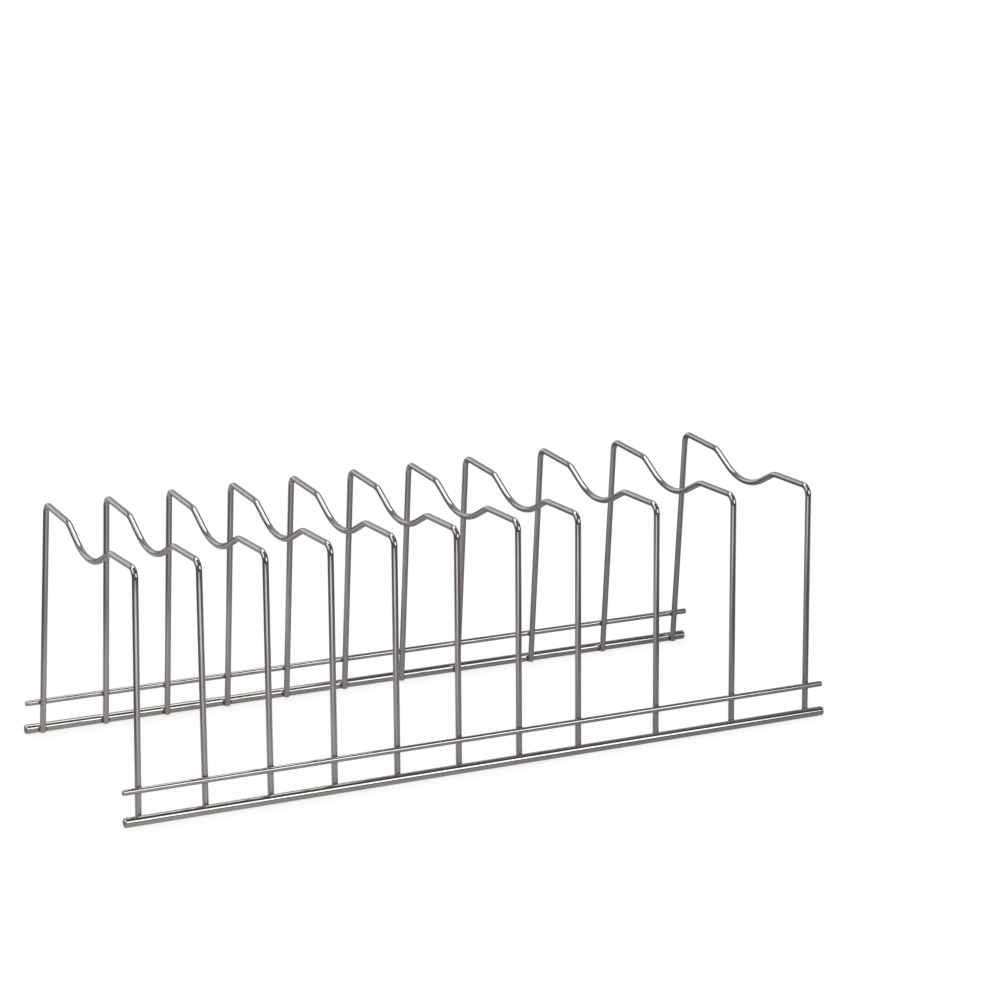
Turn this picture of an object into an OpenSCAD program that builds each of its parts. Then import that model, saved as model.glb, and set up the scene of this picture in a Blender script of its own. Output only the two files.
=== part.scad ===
// Pot lid rack of welded steel wire.
// Four straight rails run along X. Dividers, each one bent wire, stand across them in a row.
// Every rail lies on the outer side of the legs, so nothing stands in the way between the dividers.
// X runs along the row, Y across it, Z up. The table is at Z = 0 and the rack is centred over it.

/* [Slots] */
// wide slots, all at the far end of the row; the rest of the slots are narrow
wide_slots = 3; // [0:1:10]
// distance between the dividers of a narrow slot
narrow_pitch = 35; // [22:1:60]
// distance between the dividers of a wide slot
wide_pitch = 47; // [25:1:80]
// how far the rails run past the outermost dividers
rail_overhang = 9; // [5:1:30]

/* [Divider outline] */
// distance between the two legs of a divider at the table, on the wire's centreline
foot_spread = 142.6; // [132:0.2:200]
// distance between the outer corners of a divider, before they are rounded
top_spread = 129.4; // [90:0.2:140]
// height of the outer corners above the table, before they are rounded
corner_h = 127.7; // [80:0.1:200]
// distance between the inner ends of the two shoulders, before they are rounded
dip_mouth = 60.6; // [40:0.2:80]
// how much lower a shoulder's inner end is than its outer corner
shoulder_fall = 1.3; // [0:0.1:4]
// how far the point of the dip lies below the outer corners, before it is rounded
dip_depth = 17.4; // [10:0.1:30]
// gap between the cut ends of the legs and the table
leg_clear = 0.9; // [0.5:0.1:1.5]
// how far the first divider is tipped towards the others, in degrees
first_tip = 1.1; // [0:0.1:3]

/* [Bends, on the wire's centreline] */
// radius of the outer corners, where leg turns into shoulder
corner_r = 5.2; // [4:0.1:12]
// radius where a shoulder turns down into the dip
brow_r = 13; // [4:0.5:20]
// radius of the dip
dip_r = 38; // [10:0.5:45]

/* [Wire] */
// wire of the dividers
divider_d = 3.2; // [2.4:0.1:4]
// wire of the two lower rails, which stand on the table
lower_rail_d = 5; // [4:0.1:7]
// wire of the two upper rails
upper_rail_d = 3; // [2:0.1:4]
// height of the upper rails' centreline above the table
upper_rail_h = 17.5; // [10:0.5:40]
// how deep the welding presses a rail and a leg into each other
weld_set = 0.8; // [0.3:0.1:1]
// bevel on the cut ends of the rails
end_bevel = 0.5; // [0.2:0.1:0.8]
// how much thinner the wire is in its bends, where bending has drawn it out
bend_thinning = 0.04; // [0.02:0.02:0.1]

/* [Hidden] */
$fn = 96;
slots = 10;
narrow_slots = slots - wide_slots;
rail_len = 2 * rail_overhang + narrow_slots * narrow_pitch + wide_slots * wide_pitch;
// the legs lean inwards by this many degrees
leg_lean = atan((foot_spread - top_spread) / 2 / corner_h);
wire_color = [0.72, 0.71, 0.69];
rail_color = [0.64, 0.63, 0.62];
// how far a straight reaches over the thinner wire of its bend
bend_lap = 0.15;
// most of a shoulder that the bend at either end may use, and most of a slope for brow and dip
shoulder_share = 0.45;
brow_share = 0.18;
dip_share = 0.78;
BACK = 1;
FRONT = -1;

// distance of a leg's centreline from the middle plane at height z
function leg_y(z) = foot_spread / 2 - z * tan(leg_lean);

// distance of a rail's centreline from the middle plane, set into the outer side of the legs
function rail_y(d, z) = leg_y(z) + ((divider_d + d) / 2 - weld_set) / cos(leg_lean);

// place of divider i along the row, counted from 1
function divider_x(i) = rail_overhang - rail_len / 2
    + narrow_pitch * min(i - 1, narrow_slots)
    + wide_pitch * max(0, i - 1 - narrow_slots);

// direction of the line from point a to point b, in degrees
function heading(a, b) = atan2(b[1] - a[1], b[0] - a[0]);

// how far the path turns at corner i, positive to the left
function turn(path, i) =
    let (t = heading(path[i], path[i + 1]) - heading(path[i - 1], path[i]))
    t - 360 * round(t / 360);

// length of straight wire that a bend of radius r uses up on each side of corner i
function setback(path, i, r) = r == 0 ? 0 : r * tan(abs(turn(path, i)) / 2);

// half of a divider's outline as [across, up], from the cut end of its leg to the dip
half_outline = [
    [leg_y(leg_clear), leg_clear],
    [top_spread / 2, corner_h],
    [dip_mouth / 2, corner_h - shoulder_fall],
    [0, corner_h - dip_depth]
];

// the whole outline, one half mirrored after the other
outline = [
    for (p = half_outline) p,
    for (k = [2 : -1 : 0]) [-half_outline[k][0], half_outline[k][1]]
];
shoulder_len = norm(outline[2] - outline[1]);
slope_len = norm(outline[3] - outline[2]);

// radius r at corner i, or less where its bend would use up more than room of a straight
function bend(i, r, room) = min(r, room / tan(abs(turn(outline, i)) / 2));

half_bends = [
    0,
    bend(1, corner_r, shoulder_share * shoulder_len),
    bend(2, brow_r, min(shoulder_share * shoulder_len, brow_share * slope_len)),
    bend(3, dip_r, dip_share * slope_len)
];
bends = [for (r = half_bends) r, for (k = [2 : -1 : 0]) half_bends[k]];

// Round wire bent along a path in the XY plane, with one radius for each of its points.
// Bending draws the wire a little thinner, so each straight laps over the start of its bend.
module bent_wire(path, radii, d) {
    for (i = [0 : len(path) - 2]) {
        start = radii[i] == 0 ? 0 : setback(path, i, radii[i]) - bend_lap;
        stop = radii[i + 1] == 0 ? 0 : setback(path, i + 1, radii[i + 1]) - bend_lap;
        translate(path[i])
            rotate([0, 0, heading(path[i], path[i + 1])])
                translate([start, 0, 0])
                    rotate([0, 90, 0])
                        cylinder(d = d, h = norm(path[i + 1] - path[i]) - start - stop);
    }
    for (i = [1 : len(path) - 2]) {
        t = turn(path, i);
        side = sign(t);
        translate(path[i])
            rotate([0, 0, heading(path[i - 1], path[i])])
                translate([-setback(path, i, radii[i]), side * radii[i], 0])
                    rotate([0, 0, side > 0 ? -90 : 90 + t])
                        rotate_extrude(angle = abs(t))
                            translate([radii[i], 0])
                                circle(d = d - bend_thinning);
    }
}

// Straight wire along X with both cut ends bevelled.
module rail(side, d, z) {
    r = d / 2;
    translate([-rail_len / 2, side * rail_y(d, z), z])
        rotate([0, 90, 0])
            rotate_extrude()
                polygon([
                    [0, 0],
                    [r - end_bevel, 0],
                    [r, end_bevel],
                    [r, rail_len - end_bevel],
                    [r - end_bevel, rail_len],
                    [0, rail_len]
                ]);
}

module lower_rail(side) {
    rail(side, lower_rail_d, lower_rail_d / 2);
}

module upper_rail(side) {
    rail(side, upper_rail_d, upper_rail_h);
}

// One divider: the bent wire stood up across the row, with a seat in each leg for every rail.
module divider(i) {
    tip = i == 1 ? first_tip : 0;
    difference() {
        translate([divider_x(i), 0, upper_rail_h])
            rotate([0, tip, 0])
                translate([0, 0, -upper_rail_h])
                    rotate([90, 0, 90])
                        bent_wire(outline, bends, divider_d);
        for (side = [FRONT, BACK]) {
            lower_rail(side);
            upper_rail(side);
        }
    }
}

module front_lower_rail() {
    color(rail_color) lower_rail(FRONT);
}

module back_lower_rail() {
    color(rail_color) lower_rail(BACK);
}

module front_upper_rail() {
    color(rail_color) upper_rail(FRONT);
}

module back_upper_rail() {
    color(rail_color) upper_rail(BACK);
}

module divider_01() {
    color(wire_color) divider(1);
}

module divider_02() {
    color(wire_color) divider(2);
}

module divider_03() {
    color(wire_color) divider(3);
}

module divider_04() {
    color(wire_color) divider(4);
}

module divider_05() {
    color(wire_color) divider(5);
}

module divider_06() {
    color(wire_color) divider(6);
}

module divider_07() {
    color(wire_color) divider(7);
}

module divider_08() {
    color(wire_color) divider(8);
}

module divider_09() {
    color(wire_color) divider(9);
}

module divider_10() {
    color(wire_color) divider(10);
}

module divider_11() {
    color(wire_color) divider(11);
}

front_lower_rail();
back_lower_rail();
front_upper_rail();
back_upper_rail();
divider_01();
divider_02();
divider_03();
divider_04();
divider_05();
divider_06();
divider_07();
divider_08();
divider_09();
divider_10();
divider_11();
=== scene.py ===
# %% [markdown]
# # A pot lid rack of bright steel wire
#
# The real rack is nothing but drawn steel wire, cut, bent and welded: four straight rails and a
# row of dividers, each of them one wire bent in one plane. All of its looks come from bright
# metal, so this lesson is about two things: round wire that is truly round in the mesh, and a
# plain studio that gives bright wire something to mirror.
#
# The measured solid model is loaded first and stays as it is. Every wire made below stands
# exactly where its solid stands and takes its place in the picture.

# %% Load the measured model
import math
import random

import bpy
import numpy as np
from mathutils import Matrix, Vector


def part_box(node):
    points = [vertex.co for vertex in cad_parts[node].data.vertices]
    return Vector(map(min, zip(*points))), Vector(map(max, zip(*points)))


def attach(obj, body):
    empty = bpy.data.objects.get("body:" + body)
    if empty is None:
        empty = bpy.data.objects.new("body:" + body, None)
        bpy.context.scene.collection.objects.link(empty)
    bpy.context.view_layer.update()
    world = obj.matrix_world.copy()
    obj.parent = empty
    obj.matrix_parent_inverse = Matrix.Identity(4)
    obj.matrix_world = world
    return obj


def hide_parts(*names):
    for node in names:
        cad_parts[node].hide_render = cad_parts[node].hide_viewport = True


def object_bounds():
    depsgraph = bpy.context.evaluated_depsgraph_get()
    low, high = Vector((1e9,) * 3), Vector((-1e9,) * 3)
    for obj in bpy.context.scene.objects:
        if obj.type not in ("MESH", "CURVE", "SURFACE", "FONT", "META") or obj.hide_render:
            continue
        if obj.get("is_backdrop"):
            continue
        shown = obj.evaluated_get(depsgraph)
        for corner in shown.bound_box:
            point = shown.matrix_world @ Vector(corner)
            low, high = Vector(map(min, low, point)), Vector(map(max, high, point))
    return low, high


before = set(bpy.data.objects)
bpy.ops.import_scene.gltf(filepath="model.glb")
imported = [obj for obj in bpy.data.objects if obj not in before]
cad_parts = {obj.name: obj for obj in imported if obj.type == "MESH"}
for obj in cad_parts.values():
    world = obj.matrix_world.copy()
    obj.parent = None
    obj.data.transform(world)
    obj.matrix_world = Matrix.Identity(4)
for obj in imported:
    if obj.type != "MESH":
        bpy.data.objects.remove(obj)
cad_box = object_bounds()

print("solids in the frame:", ", ".join(sorted(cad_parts)))

# %% [markdown]
# ## Measures
#
# Wire goods are drawn in millimetres and Blender works in metres, so the lesson keeps every
# measure in millimetres and turns it to metres in one place, when a mesh is handed over. The
# values are those of the solid model: the wires' diameters, where the dividers stand along the
# row, and the corners of the divider's outline before they are rounded.

# %% Measures of the rack, in millimetres
MM = 0.001
DIVIDER_R, LOWER_R, UPPER_R = 1.6, 2.5, 1.5
RAIL_HALF = 202.0  # half the length of every rail
UPPER_RAIL_Z = 17.5
DIVIDER_X = [-193, -158, -123, -88, -53, -18, 17, 52, 99, 146, 193]
FIRST_TIP = math.radians(1.1)  # the first divider stands tipped towards the others
WELD_SET = 0.8  # how deep a weld presses rail and leg into each other
FOOT_Y, CORNER_Y, CORNER_Z, FOOT_Z = 71.3, 64.7, 127.7, 0.9
LEAN = math.atan((FOOT_Y - CORNER_Y) / CORNER_Z)


def leg_y(z):
    """Distance of a leg's middle line from the middle of the rack at height z."""
    return FOOT_Y - z * math.tan(LEAN)


def rail_y(radius, z):
    """Distance of a rail's middle line from the middle of the rack."""
    return leg_y(z) + (DIVIDER_R + radius - WELD_SET) / math.cos(LEAN)


RAILS = {
    f"{side_name}_{level}_rail": (side, radius, z)
    for side_name, side in (("front", -1), ("back", 1))
    for level, radius, z in (("lower", LOWER_R, LOWER_R), ("upper", UPPER_R, UPPER_RAIL_Z))
}
for name, (side, radius, z) in RAILS.items():
    low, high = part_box(name)
    gap = high[1] / MM - (side * rail_y(radius, z) + radius)
    print(f"{name}: {2 * radius} mm wire, its back side {gap:.3f} mm off the solid's")

# %% [markdown]
# ## The line that a bent wire follows
#
# A wire bender feeds straight wire and turns it round a pin, so the middle line of a divider is
# made of straights joined by arcs. The same is done here: the corners of the outline are listed
# once, each is cut by an arc of its own radius, and points are laid along the result. They lie
# close together in the bends, where the wire turns, and near the rails, where the welds will
# need fine rings. A straight needs few.

# %% Round the corners of a path
BEND_STEP = math.radians(4)  # one ring of the mesh for each four degrees of bend


def rounded_line(corners, radii):
    """Points and directions along a path whose corners are rounded with these radii."""
    corners = [np.array(c, float) for c in corners]
    points, directions = [], []
    for i, corner in enumerate(corners):
        before = corners[i] - corners[i - 1] if i else corners[1] - corners[0]
        after = corners[i + 1] - corner if i + 1 < len(corners) else before
        before, after = before / np.linalg.norm(before), after / np.linalg.norm(after)
        if radii[i] == 0:
            points.append(corner)
            directions.append(before)
            continue
        turn = math.atan2(before[0] * after[1] - before[1] * after[0], before @ after)
        start = corner - before * radii[i] * math.tan(abs(turn) / 2)
        inward = np.array([-before[1], before[0]]) * math.copysign(1, turn)
        centre = start + inward * radii[i]
        steps = max(4, math.ceil(abs(turn) / BEND_STEP))
        for k in range(steps + 1):
            a = turn * k / steps
            cos_a, sin_a = math.cos(a), math.sin(a)
            rotate = np.array([[cos_a, -sin_a], [sin_a, cos_a]])
            points.append(centre + rotate @ (start - centre))
            directions.append(rotate @ before)
    return points, directions


bend_rings = len(rounded_line([(0, 0), (9, 0), (9, 9)], [0, 4, 0])[0]) - 2
print(f"a right-angled bend takes {bend_rings} rings")

# %% The middle line of one divider
BROW_Y, BROW_Z, DIP_Z = 30.3, 126.4, 110.3  # where a shoulder ends, and the point of the dip
CORNER_BEND, BROW_BEND, DIP_BEND = 5.2, 13, 38  # radii of the bends, on the wire's middle line
half = [(leg_y(FOOT_Z), FOOT_Z), (CORNER_Y, CORNER_Z), (BROW_Y, BROW_Z), (0, DIP_Z)]
half_radii = [0, CORNER_BEND, BROW_BEND, DIP_BEND]
outline = half + [(-y, z) for y, z in half[2::-1]]
radii = half_radii + half_radii[2::-1]
bends, bend_directions = rounded_line(outline, radii)
print(f"divider line: {len(bends)} points, reaches {max(p[1] for p in bends):.2f} mm high")

# %% Extra points on the legs, close together where the rails are welded on
SEAT_STEP, NEAR_WELD_STEP, PLAIN_STEP = 0.25, 1, 6  # distances of the rings, in millimetres


def leg_points():
    """Heights of the extra rings on a leg: at the seats, beside them, and above."""
    at_lower_rail = np.arange(FOOT_Z + 0.4, 5.6, SEAT_STEP)
    at_upper_rail = np.arange(UPPER_RAIL_Z - 2, UPPER_RAIL_Z + 2, SEAT_STEP)
    between_rails = np.arange(6.2, 15.2, NEAR_WELD_STEP)
    past_the_weld = np.arange(20, 28, NEAR_WELD_STEP)
    above = range(30, 120, PLAIN_STEP)
    return sorted([*at_lower_rail, *at_upper_rail, *between_rails, *past_the_weld, *above])


first = [np.array([leg_y(z), z]) for z in leg_points()]
lean_up = np.array([-math.sin(LEAN), math.cos(LEAN)])
last = [np.array([-p[0], p[1]]) for p in reversed(first)]
divider_line = [bends[0]] + first + bends[1:-1] + last + [bends[-1]]
divider_directions = (
    [bend_directions[0]] + [lean_up] * len(first) + bend_directions[1:-1]
    + [-lean_up * (-1, 1)] * len(last) + [bend_directions[-1]]
)
divider_directions = [d / np.linalg.norm(d) for d in divider_directions]
print(f"with the rings for the welds: {len(divider_line)} points")

# %% [markdown]
# ## Drawing the wire
#
# A round wire is a ring carried along its line. Blender can do that with a curve and a bevel,
# but a mesh made ring by ring keeps control of three things that matter on bright metal: the
# number of sides (few sides show as bands in a reflection), the shape of the cut ends, and a map
# that runs along the wire, which the drawing lines of the finish need.

# %% Carry a ring along a line
SIDES = 48


def draw_wire(line, directions, side_way, radius, bevel):
    """Vertices, faces and map of a round wire along line, with both cut ends bevelled."""
    line = np.array(line, float)
    directions = np.array(directions, float)
    side_way = np.array(side_way, float)
    start, stop = line[0].copy(), line[-1].copy()
    rings = [(start, directions[0], radius - bevel)]
    rings.append((start + directions[0] * bevel, directions[0], radius))
    rings += [(p, d, radius) for p, d in zip(line[1:-1], directions[1:-1])]
    rings.append((stop - directions[-1] * bevel, directions[-1], radius))
    rings.append((stop, directions[-1], radius - bevel))
    angles = np.linspace(0, 2 * math.pi, SIDES, endpoint=False)
    girth = 2 * math.pi * radius
    vertices, along, run = [], [], 0.0
    for k, (p, d, r) in enumerate(rings):
        across = np.cross(side_way, d)
        ring = p + r * (np.outer(np.cos(angles), across) + np.outer(np.sin(angles), side_way))
        run += np.linalg.norm(p - rings[k - 1][0]) if k else 0
        vertices.append(ring)
        along.append(run)
    vertices = np.concatenate(vertices)
    faces, places = [], []
    for k in range(len(rings) - 1):
        for s in range(SIDES):
            t = (s + 1) % SIDES
            faces.append((k * SIDES + s, k * SIDES + t, (k + 1) * SIDES + t, (k + 1) * SIDES + s))
            u0, u1 = s / SIDES * girth, (s + 1) / SIDES * girth
            v0, v1 = along[k], along[k + 1]
            places.append([(u0, v0), (u1, v0), (u1, v1), (u0, v1)])
    ends = [tuple(range(SIDES))[::-1], tuple(range(len(vertices) - SIDES, len(vertices)))]
    for end in ends:  # a cut end lies flat on the map
        centre = vertices[list(end)].mean(axis=0)
        flat = [v - centre for v in vertices[list(end)]]
        faces.append(end)
        places.append([(float(f @ side_way), float(f.sum() - f @ side_way)) for f in flat])
    return vertices, faces, places


sample = draw_wire([(0, 0, 0), (5, 0, 0), (10, 0, 0)], [(1, 0, 0)] * 3, (0, 0, 1), 2, 0.3)
print(f"a 10 mm sample of wire has {len(sample[0])} vertices and {len(sample[1])} faces")

# %% [markdown]
# ## Seats and welds
#
# The rails are joined to the legs by resistance welding: both wires are pressed together while
# a current melts the spot, so they sink into each other by 0.8 mm and a thin collar of metal is
# squeezed out round the spot. A boolean cut could make the seat, but it leaves long thin faces
# that show in bright metal. Here the leg's skin is pushed back to the rail's surface instead,
# and the collar is a small uneven tube that follows the line in which the two round surfaces
# meet.

# %% Press the seats of the rails into a leg
def press_seats(vertices):
    """Moves the vertices that lie inside a rail out to the rail's surface."""
    moved = 0
    for side, radius, z in RAILS.values():
        middle = np.array([side * rail_y(radius, z), z])
        away = vertices[:, 1:] - middle
        distance = np.linalg.norm(away, axis=1)
        inside = distance < radius
        vertices[inside, 1:] = middle + away[inside] / distance[inside, None] * radius
        moved += int(inside.sum())
    return moved


probe = np.array([[0.0, leg_y(UPPER_RAIL_Z) + DIVIDER_R, UPPER_RAIL_Z]])
print(f"points pressed in on the outer side of a leg, level with a rail: {press_seats(probe)}")

# %% The collar round one weld
COLLAR_STEPS, COLLAR_SIDES = 40, 10
COLLAR_R = {LOWER_R: 0.42, UPPER_R: 0.34}  # radius of the tube by rail, in millimetres
SIDE_SWELL = 1.6  # how much more metal comes out at the leg's two sides
LOOP_END = 0.995  # the loop stops a hair short of where the two round surfaces part
COLLAR_MAP = 0.3  # size of one face on the map, in millimetres
chance = random.Random(7)


def weld_collar(side, rail_radius, z):
    """Vertices, faces and map of the collar where a rail meets the leg of a divider at x = 0."""
    out = np.array([0, side * math.cos(LEAN), math.sin(LEAN)])
    up = np.array([0, -side * math.sin(LEAN), math.cos(LEAN)])
    row = np.array([1.0, 0, 0])
    reach = DIVIDER_R + rail_radius - WELD_SET
    rail_middle = np.array([0, side * rail_y(rail_radius, z), z])
    leg_middle = rail_middle - reach * out
    widest = math.acos((reach - rail_radius) / DIVIDER_R)
    # the lumps are three waves, each with its phase, its height and its number round the loop
    waves = [(chance.uniform(0, 6.28), chance.uniform(0.06, 0.22), k) for k in (2, 3, 5)]
    centres, normals, sizes = [], [], []
    for k in range(COLLAR_STEPS):
        t = 2 * math.pi * k / COLLAR_STEPS
        a = widest * LOOP_END * math.cos(t)
        depth = reach - DIVIDER_R * math.cos(a)
        height = math.copysign(math.sqrt(max(rail_radius**2 - depth**2, 0)), math.sin(t))
        leg_normal = math.sin(a) * row + math.cos(a) * out
        spot = leg_middle + DIVIDER_R * leg_normal + height * up
        rail_normal = spot - rail_middle
        rail_normal[0] = 0
        normal = leg_normal + rail_normal / np.linalg.norm(rail_normal)
        centres.append(spot)
        normals.append(normal / np.linalg.norm(normal))
        swell = 1 + SIDE_SWELL * math.cos(t) ** 4
        lumps = 1 + sum(rise * math.sin(n * t + phase) for phase, rise, n in waves)
        sizes.append(COLLAR_R[rail_radius] * swell * lumps)
    vertices, faces, places = [], [], []
    for k, (spot, normal, size) in enumerate(zip(centres, normals, sizes)):
        way = centres[(k + 1) % COLLAR_STEPS] - centres[k - 1]
        way /= np.linalg.norm(way)
        normal = normal - (normal @ way) * way
        normal /= np.linalg.norm(normal)
        across = np.cross(way, normal)
        for s in range(COLLAR_SIDES):
            b = 2 * math.pi * s / COLLAR_SIDES
            vertices.append(spot + size * (math.cos(b) * normal + math.sin(b) * across))
            here, ahead = k * COLLAR_SIDES, (k + 1) % COLLAR_STEPS * COLLAR_SIDES
            s1 = (s + 1) % COLLAR_SIDES
            faces.append((here + s, ahead + s, ahead + s1, here + s1))
            u, v = s * COLLAR_MAP, k * COLLAR_MAP
            u1, v1 = u + COLLAR_MAP, v + COLLAR_MAP
            places.append([(u, v), (u, v1), (u1, v1), (u1, v)])
    return np.array(vertices), faces, places


print(f"a collar has {COLLAR_STEPS * COLLAR_SIDES} vertices")

# %% [markdown]
# ## Handing a wire over to Blender
#
# The lists become a mesh in one function. It also writes down how near each vertex is to a weld,
# as a value on the mesh, because the heat of a weld dulls the wire and tints it brown-grey for a
# few millimetres round it, and the material reads that value. The same darkening is also painted
# shade, where rail and leg meet.

# %% The heat tint of the welds, also painted shade where rail and leg meet
TINT_AND_SHADE_REACH = 3.2  # how far a weld's heat tint and painted shade reach, in millimetres
WELD_SPOTS = np.array([
    (x, side * (rail_y(radius, z) - radius + WELD_SET / 2), z)
    for x in DIVIDER_X for side, radius, z in RAILS.values()
])


# the heat tint at each vertex, which is also painted shade where rail and leg meet
def tint_and_shade_at(vertices):
    """1 at a weld, falling to 0 at TINT_AND_SHADE_REACH from it."""
    tint_and_shade = np.zeros(len(vertices))
    for spot in WELD_SPOTS:
        distance = np.linalg.norm(vertices - spot, axis=1)
        tint_and_shade = np.maximum(tint_and_shade, 1 - distance / TINT_AND_SHADE_REACH)
    return np.clip(tint_and_shade, 0, 1)


print(f"{len(WELD_SPOTS)} welds mark the wires")

# %% Make the object
SHARP_FROM = math.radians(32)  # an edge that turns more than this stays crisp
WIRE_SKIN, CUT_END, WELD = 0, 1, 2  # the places of the three materials on a piece


def make_piece(name, parts, node):
    """One object from several (vertices, faces, map, is_collar), in place of the solid node."""
    vertices, faces, places, collars = [], [], [], []
    for part_vertices, part_faces, part_places, is_collar in parts:
        base = sum(len(v) for v in vertices)
        vertices.append(part_vertices)
        faces += [tuple(base + i for i in f) for f in part_faces]
        places += part_places
        collars += [is_collar] * len(part_faces)
    vertices = np.concatenate(vertices)
    mesh = bpy.data.meshes.new(name)
    mesh.from_pydata((vertices * MM).tolist(), [], faces)
    layer = mesh.uv_layers.new(name="along_wire")
    layer.data.foreach_set("uv", [c for place in places for uv in place for c in uv])
    # how near each vertex is to a weld: its heat tint, and painted shade where rail and leg meet
    tint_and_shade = mesh.attributes.new("weld_tint_and_shade", "FLOAT", "POINT")
    tint_and_shade.data.foreach_set("value", tint_and_shade_at(vertices).astype(np.float32))
    ends = [len(f) == SIDES for f in faces]
    mesh.polygons.foreach_set("use_smooth", [not end for end in ends])
    mesh.set_sharp_from_angle(angle=SHARP_FROM)
    skins = [
        CUT_END if end else WELD if collar else WIRE_SKIN for end, collar in zip(ends, collars)
    ]
    mesh.polygons.foreach_set("material_index", skins)
    mesh.update()
    piece = bpy.data.objects.new(name, mesh)
    bpy.context.scene.collection.objects.link(piece)
    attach(piece, "root")
    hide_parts(node)
    return piece


# %% [markdown]
# ## The four rails
#
# Two 5 mm rails carry the rack on the table, and two 3 mm rails tie the legs together above
# them. They are cropped from straightened wire and the burr of the cut is rolled off, which
# leaves a small bevel. A cylinder would do for a rail, but drawn as the dividers are it gets
# the same map and bevel, and the same heat tint at the welds, which is partly painted shade
# where rail and leg meet. A ring every couple of millimetres is enough for those.

# %% Make the rails
RAIL_STEP = 2  # distance of a rail's rings, in millimetres
RAIL_BEVEL = 0.5  # width of the bevel on its cut ends
pieces = {}
for name, (side, radius, z) in RAILS.items():
    rail_xs = np.arange(-RAIL_HALF, RAIL_HALF + 0.5, RAIL_STEP)
    rail_line = [(x, side * rail_y(radius, z), z) for x in rail_xs]
    wire = draw_wire(rail_line, [(1, 0, 0)] * len(rail_line), (0, 0, 1), radius, RAIL_BEVEL)
    pieces[name] = make_piece(f"{name}_wire", [(*wire, False)], name)
    print(f"{name}: {len(pieces[name].data.polygons)} faces")

# %% [markdown]
# ## The eleven dividers
#
# Each divider is the same wire set up at its own place in the row: narrow gaps first, then three
# wider ones. Copies of one mesh would nearly do, but no two collars are alike, so each divider
# is drawn anew. The first one was welded a hair out of true and leans towards the others. Its
# seats are pressed in after it is tipped, so they still fit the rails.

# %% Make the dividers
LEG_BEVEL = 0.15  # a divider's cut ends are all but sharp
for i, x in enumerate(DIVIDER_X, 1):
    name = f"divider_{i:02d}"
    line = [(0, y, z) for y, z in divider_line]
    ways = [(0, y, z) for y, z in divider_directions]
    parts = [[*draw_wire(line, ways, (1, 0, 0), DIVIDER_R, LEG_BEVEL), False]]
    parts += [[*weld_collar(*rail), True] for rail in RAILS.values()]
    tip = FIRST_TIP if i == 1 else 0
    pivot = np.array([0, 0, UPPER_RAIL_Z])
    turn = np.array(Matrix.Rotation(tip, 3, "Y"))
    for part in parts:
        part[0] = (part[0] - pivot) @ turn.T + pivot + np.array([x, 0, 0])
    moved = press_seats(parts[0][0])
    pieces[name] = make_piece(f"{name}_wire", parts, name)
    if i in (1, 2):
        low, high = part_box(name)
        top = max(v.co.z for v in pieces[name].data.vertices)
        print(f"{name}: {moved} vertices pressed in, top {(top - high[2]) / MM:.3f} mm off")

# %% [markdown]
# ## Colours and nodes
#
# Colours are picked as they look on a screen, as hex values, and Blender's shaders work with
# linear light, so one function turns the one into the other. A second small function adds a
# node, sets its values and makes its links, which keeps each material short enough to read.

# %% Colour and node helpers
def linear(colour, alpha=1.0):
    """Linear RGBA of an sRGB hex colour such as "#c8c3bd"."""
    parts = [int(colour[i : i + 2], 16) / 255 for i in (1, 3, 5)]
    return [p / 12.92 if p <= 0.04045 else ((p + 0.055) / 1.055) ** 2.4 for p in parts] + [alpha]


def add(tree, kind, inputs=(), **settings):
    """Adds a node of this kind. inputs: {input: its value, or the output that is linked to it}."""
    node = tree.nodes.new(kind)
    for key, value in settings.items():
        setattr(node, key, value)
    for key, value in dict(inputs).items():
        if isinstance(value, bpy.types.NodeSocket):
            tree.links.new(value, node.inputs[key])
        else:
            node.inputs[key].default_value = value
    return node


def new_material(name):
    """An empty material and its node tree."""
    material = bpy.data.materials.new(name)
    material.use_nodes = True
    material.node_tree.nodes.clear()
    return material, material.node_tree


print(f"the grey #808080 is {linear('#808080')[0]:.3f} of white in linear light")

# %% [markdown]
# ## Bright-drawn stainless steel, polished
#
# The wire is stainless steel, drawn through dies and then polished after welding. Drawing leaves
# fine lines along the wire. They are finer than a pixel here (about a twentieth of a
# millimetre), so they are drawn about eight times as coarse: they give the eye the slight
# streaks along a leg. The wire also isn't perfectly even, so a slow wave, about ten wire
# diameters long and some hundredths of a millimetre high, makes the highlights waver a little.
# The metal itself is a warm light grey that varies gently, and round the welds it is dull and
# tinted brown-grey by the heat; the same darkening is also painted shade where rail and leg
# meet. Steel is all metal, so Metallic is 1, and polished steel has a roughness of about 0.1.
# Here 0.08 fits better: it keeps the edges of the mirrored lights crisp.
# A picture of steel wrapped round the wire would show its seams and its own lighting, so all of
# this is made from noise whose scale is given in millimetres.

# %% The steel of the wires
LINE_GAP, LINE_LENGTH, LINE_DEPTH = 0.4, 60, 0.004  # drawn lines, in millimetres
CLOUD, SPOT = 15, 1  # size of the colour's cloudy patches, and of the tint's ragged spots
WAVE_LENGTH, WAVE_DEPTH = 30, 0.12  # unevenness of the wire


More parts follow.
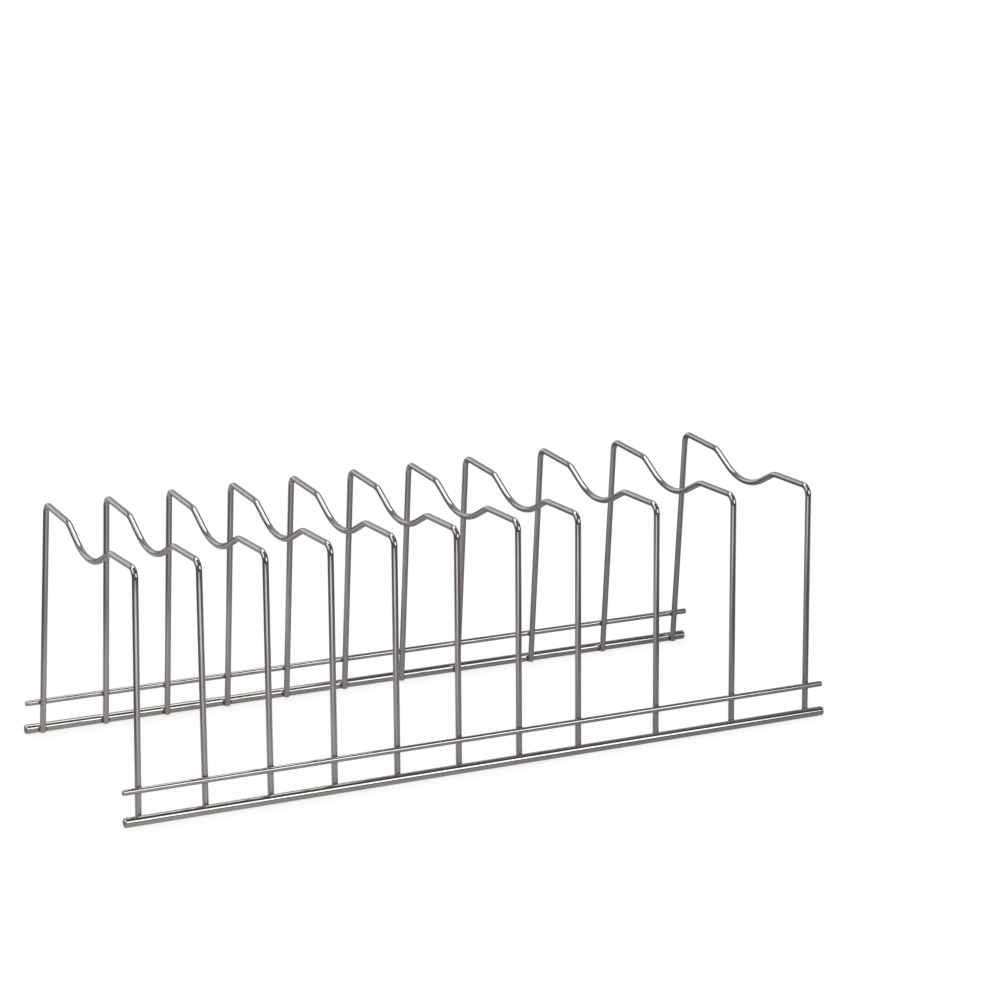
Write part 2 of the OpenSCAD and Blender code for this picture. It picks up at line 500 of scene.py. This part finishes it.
def drawn_steel(name, light, dark, tint_and_shade_colour, roughness):
    """Polished drawn wire with heat tint at its welds, which is partly painted shade where rail
    and leg meet.
    """
    material, tree = new_material(name)
    place = add(tree, "ShaderNodeTexCoord").outputs["Object"]
    along = add(tree, "ShaderNodeUVMap", uv_map="along_wire").outputs["UV"]
    tint_and_shade = add(tree, "ShaderNodeAttribute", attribute_name="weld_tint_and_shade").outputs["Fac"]
    stretched = add(tree, "ShaderNodeVectorMath",
                    {0: along, 1: (1 / LINE_GAP, 1 / LINE_LENGTH, 0)},
                    operation="MULTIPLY").outputs["Vector"]
    lines = add(tree, "ShaderNodeTexNoise", {"Vector": stretched, "Scale": 1.0, "Detail": 2.0,
                                             "Roughness": 0.5}).outputs["Fac"]
    clouds = add(tree, "ShaderNodeTexNoise", {"Vector": place, "Scale": 1 / (CLOUD * MM),
                                              "Detail": 2.0}).outputs["Fac"]
    waves = add(tree, "ShaderNodeTexNoise", {"Vector": place, "Scale": 1 / (WAVE_LENGTH * MM),
                                             "Detail": 0.0}).outputs["Fac"]
    spots = add(tree, "ShaderNodeTexNoise", {"Vector": place, "Scale": 1 / (SPOT * MM),
                                             "Detail": 2.0}).outputs["Fac"]
    # the heat tint, partly painted shade where rail and leg meet, breaks up into spots before it
    # fades
    ragged = add(tree, "ShaderNodeMath", {0: tint_and_shade, 1: spots}, operation="MULTIPLY").outputs[0]
    marked = add(tree, "ShaderNodeMapRange", {"Value": ragged, "From Min": 0.05,
                                              "From Max": 0.4}).outputs["Result"]
    # a colour Mix node's inputs are told apart by their place: 6 and 7 are its two colours
    steel = add(tree, "ShaderNodeMix", {"Factor": clouds, 6: linear(light), 7: linear(dark)},
                data_type="RGBA").outputs[2]
    # the heat tint at the welds, which is also painted shade where rail and leg meet
    tinted_and_shaded = add(tree, "ShaderNodeMix", {"Factor": marked, 6: steel, 7: linear(tint_and_shade_colour)},
                 data_type="RGBA").outputs[2]
    gloss = add(tree, "ShaderNodeMapRange", {"Value": lines, "From Min": 0.25, "From Max": 0.75,
                                             "To Min": roughness - 0.03,
                                             "To Max": roughness + 0.04}).outputs["Result"]
    dulled = add(tree, "ShaderNodeMath", {0: marked, 1: 0.25, 2: gloss},
                 operation="MULTIPLY_ADD").outputs[0]
    fine = add(tree, "ShaderNodeBump", {"Height": lines, "Strength": 0.15,
                                        "Distance": LINE_DEPTH * MM}).outputs["Normal"]
    slow = add(tree, "ShaderNodeBump", {"Height": waves, "Normal": fine, "Strength": 0.5,
                                        "Distance": WAVE_DEPTH * MM}).outputs["Normal"]
    shader = add(tree, "ShaderNodeBsdfPrincipled", {"Base Color": tinted_and_shaded, "Roughness": dulled,
                                                    "Normal": slow, "Metallic": 1.0})
    add(tree, "ShaderNodeOutputMaterial", {"Surface": shader.outputs["BSDF"]})
    return material


# 6b645d is the heat tint at the welds, and also painted shade where rail and leg meet
divider_steel = drawn_steel("polished_drawn_steel_divider", "#cbc6c3", "#c0bab7", "#6b645d", 0.08)
rail_steel = drawn_steel("polished_drawn_steel_rail", "#c9c6c2", "#beb9b6", "#6b645d", 0.08)
print(f"{divider_steel.name} has {len(divider_steel.node_tree.nodes)} nodes")

# %% [markdown]
# ## Cut ends and welds
#
# A cut end was cropped in a press. It is still steel, but torn rather than drawn, so it mirrors
# nothing and looks like dull grey metal with a fine grain. The collar of a weld has frozen from
# melted metal: lumpy, darker, and tinted by its own heat. Both have the roughness of bare
# unpolished steel, about 0.4, and a grain with no direction, so one function makes them with
# their own colours and sizes.

# %% The steel of the cut ends and the welds
def rough_steel(name, light, dark, roughness, grain, height):
    """Steel without polish: grain in millimetres, height of the grain in millimetres."""
    material, tree = new_material(name)
    place = add(tree, "ShaderNodeTexCoord").outputs["Object"]
    grains = add(tree, "ShaderNodeTexNoise", {"Vector": place, "Scale": 1 / (grain * MM),
                                              "Detail": 3.0}).outputs["Fac"]
    colour = add(tree, "ShaderNodeMix", {"Factor": grains, 6: linear(light), 7: linear(dark)},
                 data_type="RGBA").outputs[2]
    gloss = add(tree, "ShaderNodeMapRange", {"Value": grains, "To Min": roughness - 0.1,
                                             "To Max": roughness + 0.1}).outputs["Result"]
    bumps = add(tree, "ShaderNodeBump", {"Height": grains, "Strength": 0.6,
                                         "Distance": height * MM}).outputs["Normal"]
    shader = add(tree, "ShaderNodeBsdfPrincipled", {"Base Color": colour, "Roughness": gloss,
                                                    "Normal": bumps, "Metallic": 1.0})
    add(tree, "ShaderNodeOutputMaterial", {"Surface": shader.outputs["BSDF"]})
    return material


cropped_steel = rough_steel("cropped_steel_end", "#b4afa8", "#9c978f", 0.42, 0.8, 0.05)
weld_steel = rough_steel("heat_tinted_weld", "#8d857a", "#6a6158", 0.38, 0.9, 0.1)

for name, piece in pieces.items():
    body = rail_steel if name in RAILS else divider_steel
    for material in (body, cropped_steel, weld_steel):
        piece.data.materials.append(material)
print(f"{len(pieces)} wires have their steel")

# %% [markdown]
# ## The table
#
# The rack stands on a plain pale table that runs on into a white background. What the camera
# sees is the table's own shade, with the rack's soft shadow, lifted to white by Is Camera Ray
# (and Is Transmission Ray); further away it is plain white, so that it has no edge. Bright wire
# shows the table too, through Is Glossy Ray: dimmer than the camera sees it, with one strong
# pool of light in front on the left, weak ones round the rack, and dark beyond them. A leg
# squeezes all of that into its width, and the dark parts are what gives it its dark edges. A
# lamp for each pool would light the whole rack too, so the pools are painted on the table.

# %% A soft round edge
def fade(tree, place, centre, near, far, inside, outside=0.0):
    """inside up to near metres from centre, outside past far, and soft between them."""
    away = add(tree, "ShaderNodeVectorMath", {0: place, 1: (*centre, 0)}, operation="DISTANCE")
    return add(tree, "ShaderNodeMapRange", {"Value": away.outputs["Value"], "From Min": near,
                                            "From Max": far, "To Min": inside,
                                            "To Max": outside},
               interpolation_type="SMOOTHSTEP").outputs[0]


# %% What the camera sees of the table
TABLE_GREY = 0.25  # the table's own shade, before it is lifted to white
TABLE_LIFT = 1 - TABLE_GREY + 0.03  # what it lacks to white, and what the lamps leave out
SHADE_RADIUS, WHITE_RADIUS = 0.45, 0.9  # its own shade up to here, plain white from there on
table_paper, tree = new_material("pale_table_paper")
rays = add(tree, "ShaderNodeLightPath").outputs
place = add(tree, "ShaderNodeNewGeometry").outputs["Position"]
seen = add(tree, "ShaderNodeMath", {0: rays["Is Camera Ray"], 1: rays["Is Transmission Ray"]},
           operation="MAXIMUM").outputs[0]
lit = add(tree, "ShaderNodeBsdfDiffuse", {"Color": (TABLE_GREY, TABLE_GREY, TABLE_GREY, 1)})
lift = add(tree, "ShaderNodeMath", {0: seen, 1: TABLE_LIFT}, operation="MULTIPLY")
lifted = add(tree, "ShaderNodeEmission", {"Color": (1, 1, 1, 1), "Strength": lift.outputs[0]})
near_rack = add(tree, "ShaderNodeAddShader", {0: lit.outputs[0], 1: lifted.outputs[0]})
white = add(tree, "ShaderNodeEmission", {"Color": (1, 1, 1, 1), "Strength": 1.0})
far_off = fade(tree, place, (0, 0), SHADE_RADIUS, WHITE_RADIUS, 0.0, seen)
for_camera = add(tree, "ShaderNodeMixShader",
                 {0: far_off, 1: near_rack.outputs[0], 2: white.outputs[0]})
print(f"the camera sees the table plain white from {WHITE_RADIUS} m on")

# %% What bright wire mirrors of the table
TABLE_DIM = 0.14  # how bright it is away from the pools
POOLS = (  # x, y, radius of its full part, radius of its edge, in metres, and brightness
    (-0.33, -0.55, 0.08, 0.43, 1.04),  # the strong one, in front on the left
    (-0.21, -0.21, 0.06, 0.18, 0.24),  # four round the rack's near end
    (-0.16, -0.05, 0.11, 0.28, 0.10),
    (-0.20, 0.01, 0.01, 0.13, 0.26),
    (-0.18, 0.21, 0.03, 0.17, 0.34),
    (0.04, -0.09, 0.15, 0.30, 0.17),  # under its middle
    (-0.34, 0.50, 0.13, 0.28, 0.40),  # behind on the left
    (0.37, 0.68, 0.10, 0.36, 0.27),  # behind on the right
    (0.64, 0.05, 0.10, 0.42, 0.34),  # past the far end
)
level = TABLE_DIM
for x, y, inner, outer, brightness in POOLS:
    pool = fade(tree, place, (x, y), inner, outer, brightness)
    level = add(tree, "ShaderNodeMath", {0: level, 1: pool}, operation="ADD").outputs[0]
mirrored = add(tree, "ShaderNodeEmission", {"Color": linear("#fffdfe"), "Strength": level})
both = add(tree, "ShaderNodeMixShader", {0: rays["Is Glossy Ray"], 1: for_camera.outputs[0],
                                         2: mirrored.outputs[0]})
add(tree, "ShaderNodeOutputMaterial", {"Surface": both.outputs[0]})
print(f"bright wire mirrors {len(POOLS)} pools of light on the table")

# %% The table itself
FLOOR_HALF = 12.0  # half its width, in metres
floor_mesh = bpy.data.meshes.new("table")
floor_mesh.from_pydata(
    [(x * FLOOR_HALF, y * FLOOR_HALF, 0) for x, y in ((-1, -1), (1, -1), (1, 1), (-1, 1))],
    [], [(0, 1, 2, 3)],
)
floor = bpy.data.objects.new("table", floor_mesh)
bpy.context.scene.collection.objects.link(floor)
floor.data.materials.append(table_paper)
floor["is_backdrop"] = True
print(f"the table is {2 * FLOOR_HALF:.0f} m wide")

# %% [markdown]
# ## The studio
#
# Polished wire is a mirror bent into a tube: it shows the whole room squeezed into a stripe. A
# white room alone would make it flat, so the studio has bright and dark parts, as one for
# photographing metal has. A soft box in front on the right draws the white line on the rails,
# one high up behind lights the slopes of the dividers, and a pale wall behind fills their
# shoulders and dips. The rest is dim. The room could be built from walls and lamps, but round
# patches painted on the world do the same for the wire with less work. The camera itself sees
# plain white.

# %% Directions in the room, and a soft patch of light
def towards(azimuth, elevation):
    """Unit vector: azimuth 0 is the front of the rack, 90 its far end; elevation above level."""
    a, e = math.radians(azimuth), math.radians(elevation)
    return Vector((math.sin(a) * math.cos(e), -math.cos(a) * math.cos(e), math.sin(e)))


def glow(tree, direction, centre, inner, outer, level):
    """Brightness of a round soft patch of the room: full inside inner degrees, none past outer."""
    facing = add(tree, "ShaderNodeVectorMath", {0: direction, 1: centre},
                 operation="DOT_PRODUCT").outputs["Value"]
    edge, core = (math.cos(math.radians(a)) for a in (outer, inner))
    return add(tree, "ShaderNodeMapRange", {"Value": facing, "From Min": edge, "From Max": core,
                                            "To Min": 0.0, "To Max": level},
               interpolation_type="SMOOTHSTEP").outputs[0]


print("the far end of the rack lies towards", tuple(round(v, 2) for v in towards(90, 0)))

# %% The world
ROOM_DIM = 0.09  # the room that the wire mirrors, away from its bright patches
DAYLIGHT = 0.62  # what the room gives to matt surfaces
PATCHES = (  # azimuth, elevation, radius of its full part, radius of its edge, brightness
    (-162, 18, 9, 27, 0.62),  # pale wall behind
    (-152, 10, 2, 17, 0.34),  # its brightest part, low down
    (158, 17, 8, 28, 0.32),  # its right part
    (152, 34, 3, 14, 0.34),  # where it goes up on the right
    (172, 52, 6, 18, 0.42),  # and where it meets the ceiling
    (-88, 44, 14, 30, 1.30),  # a wide soft light high on the left
    (-122, 42, 8, 22, 0.62),  # a reflector at its back end
    (102, 43, 5, 22, 0.45),  # a pale strip of ceiling on the right
    (-29, 39, 10, 44, 0.10),  # the wall behind the camera
)
world = bpy.data.worlds.new("studio")
bpy.context.scene.world = world
world.use_nodes = True
tree = world.node_tree
tree.nodes.clear()
rays = add(tree, "ShaderNodeLightPath").outputs
direction = add(tree, "ShaderNodeTexCoord").outputs["Generated"]
room = ROOM_DIM
for azimuth, elevation, inner, outer, brightness in PATCHES:
    patch = glow(tree, direction, towards(azimuth, elevation), inner, outer, brightness)
    room = add(tree, "ShaderNodeMath", {0: room, 1: patch}, operation="ADD").outputs[0]
seen = add(tree, "ShaderNodeMath", {0: rays["Is Camera Ray"], 1: rays["Is Transmission Ray"]},
           operation="MAXIMUM").outputs[0]
plain, mirrored, white = (
    add(tree, "ShaderNodeBackground", {"Color": (1, 1, 1, 1), "Strength": strength}).outputs[0]
    for strength in (DAYLIGHT, room, 1.0)
)
lit = add(tree, "ShaderNodeMixShader", {0: rays["Is Glossy Ray"], 1: plain, 2: mirrored})
sky = add(tree, "ShaderNodeMixShader", {0: seen, 1: lit.outputs[0], 2: white})
add(tree, "ShaderNodeOutputWorld", {"Surface": sky.outputs[0]})
print(f"bright wire mirrors {len(PATCHES)} patches of light in the room")

# %% The lamps
AIM = Vector((0, 0, 0.06))  # the middle of the rack


def soft_box(name, azimuth, elevation, distance, width, height, brightness, mirrored=True):
    """A soft box aimed at the rack. brightness is how bright its front looks, 1 being white."""
    lamp = bpy.data.lights.new(name, "AREA")
    lamp.shape = "RECTANGLE"
    lamp.size, lamp.size_y = width, height
    lamp.energy = brightness * width * height * math.pi
    box = bpy.data.objects.new(name, lamp)
    way = towards(azimuth, elevation)
    box.location = AIM + way * distance
    box.rotation_mode = "QUATERNION"
    box.rotation_quaternion = way.to_track_quat("Z", "Y")
    box.visible_glossy = mirrored
    box.visible_camera = False
    bpy.context.scene.collection.objects.link(box)
    print(f"{name}: {lamp.energy:.1f} W, {width} x {height} m")


soft_box("front_right_soft_box", 23, 25.5, 1.6, 0.9, 0.74, 2.4)
soft_box("back_soft_box", -176, 72, 1.4, 1.2, 0.62, 2.0)
soft_box("overhead_fill", -60, 70, 2.0, 1.6, 1.6, 0.45, mirrored=False)

# %% [markdown]
# ## The camera
#
# The camera stands where the photographer's stood: to the left of the rack's front, a little
# above it, and well back, with a lens of about 109 mm on a 36 mm sensor. It was found by fitting
# the rack's known corners and wire ends, and it is tilted by one degree about its own axis.

# %% The camera
AZIMUTH, ELEVATION, ROLL = -27.5282, 15.2489, 1.0617  # in degrees
TARGET = (40.0764, 0, 120.7656)  # the point in the middle of the picture, in millimetres
DISTANCE = 1616.6622  # from there to the camera
back = towards(AZIMUTH, ELEVATION)
roll = math.radians(ROLL)
right = (-back).cross(Vector((0, 0, 1))).normalized()
up = right.cross(-back)
camera_right = right * math.cos(roll) + up * math.sin(roll)
camera_up = up * math.cos(roll) - right * math.sin(roll)
lens = bpy.data.cameras.new("camera")
lens.sensor_width, lens.lens = 36.0, 109.06
lens.clip_start, lens.clip_end = 0.1, 60.0
camera = bpy.data.objects.new("camera", lens)
turned = Matrix((camera_right, camera_up, back)).transposed().to_4x4()
target = Vector(TARGET) * MM
camera.matrix_world = Matrix.Translation(target + back * DISTANCE * MM) @ turned
bpy.context.scene.collection.objects.link(camera)
bpy.context.scene.camera = camera
bpy.context.scene.view_settings.view_transform = "Standard"
print(f"camera {camera.location.length:.2f} m away, lens {lens.lens:.1f} mm")

# %% [markdown]
# ## Sizes, and the end
#
# The dressed rack must be as big as the solid one. Both boxes are printed.

# %% Print the sizes of both racks
visual_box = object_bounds()
for word, box in (("solid", cad_box), ("dressed", visual_box)):
    print(word, "rack:", " x ".join(f"{1000 * (h - l):.2f}" for l, h in zip(*box)), "mm")
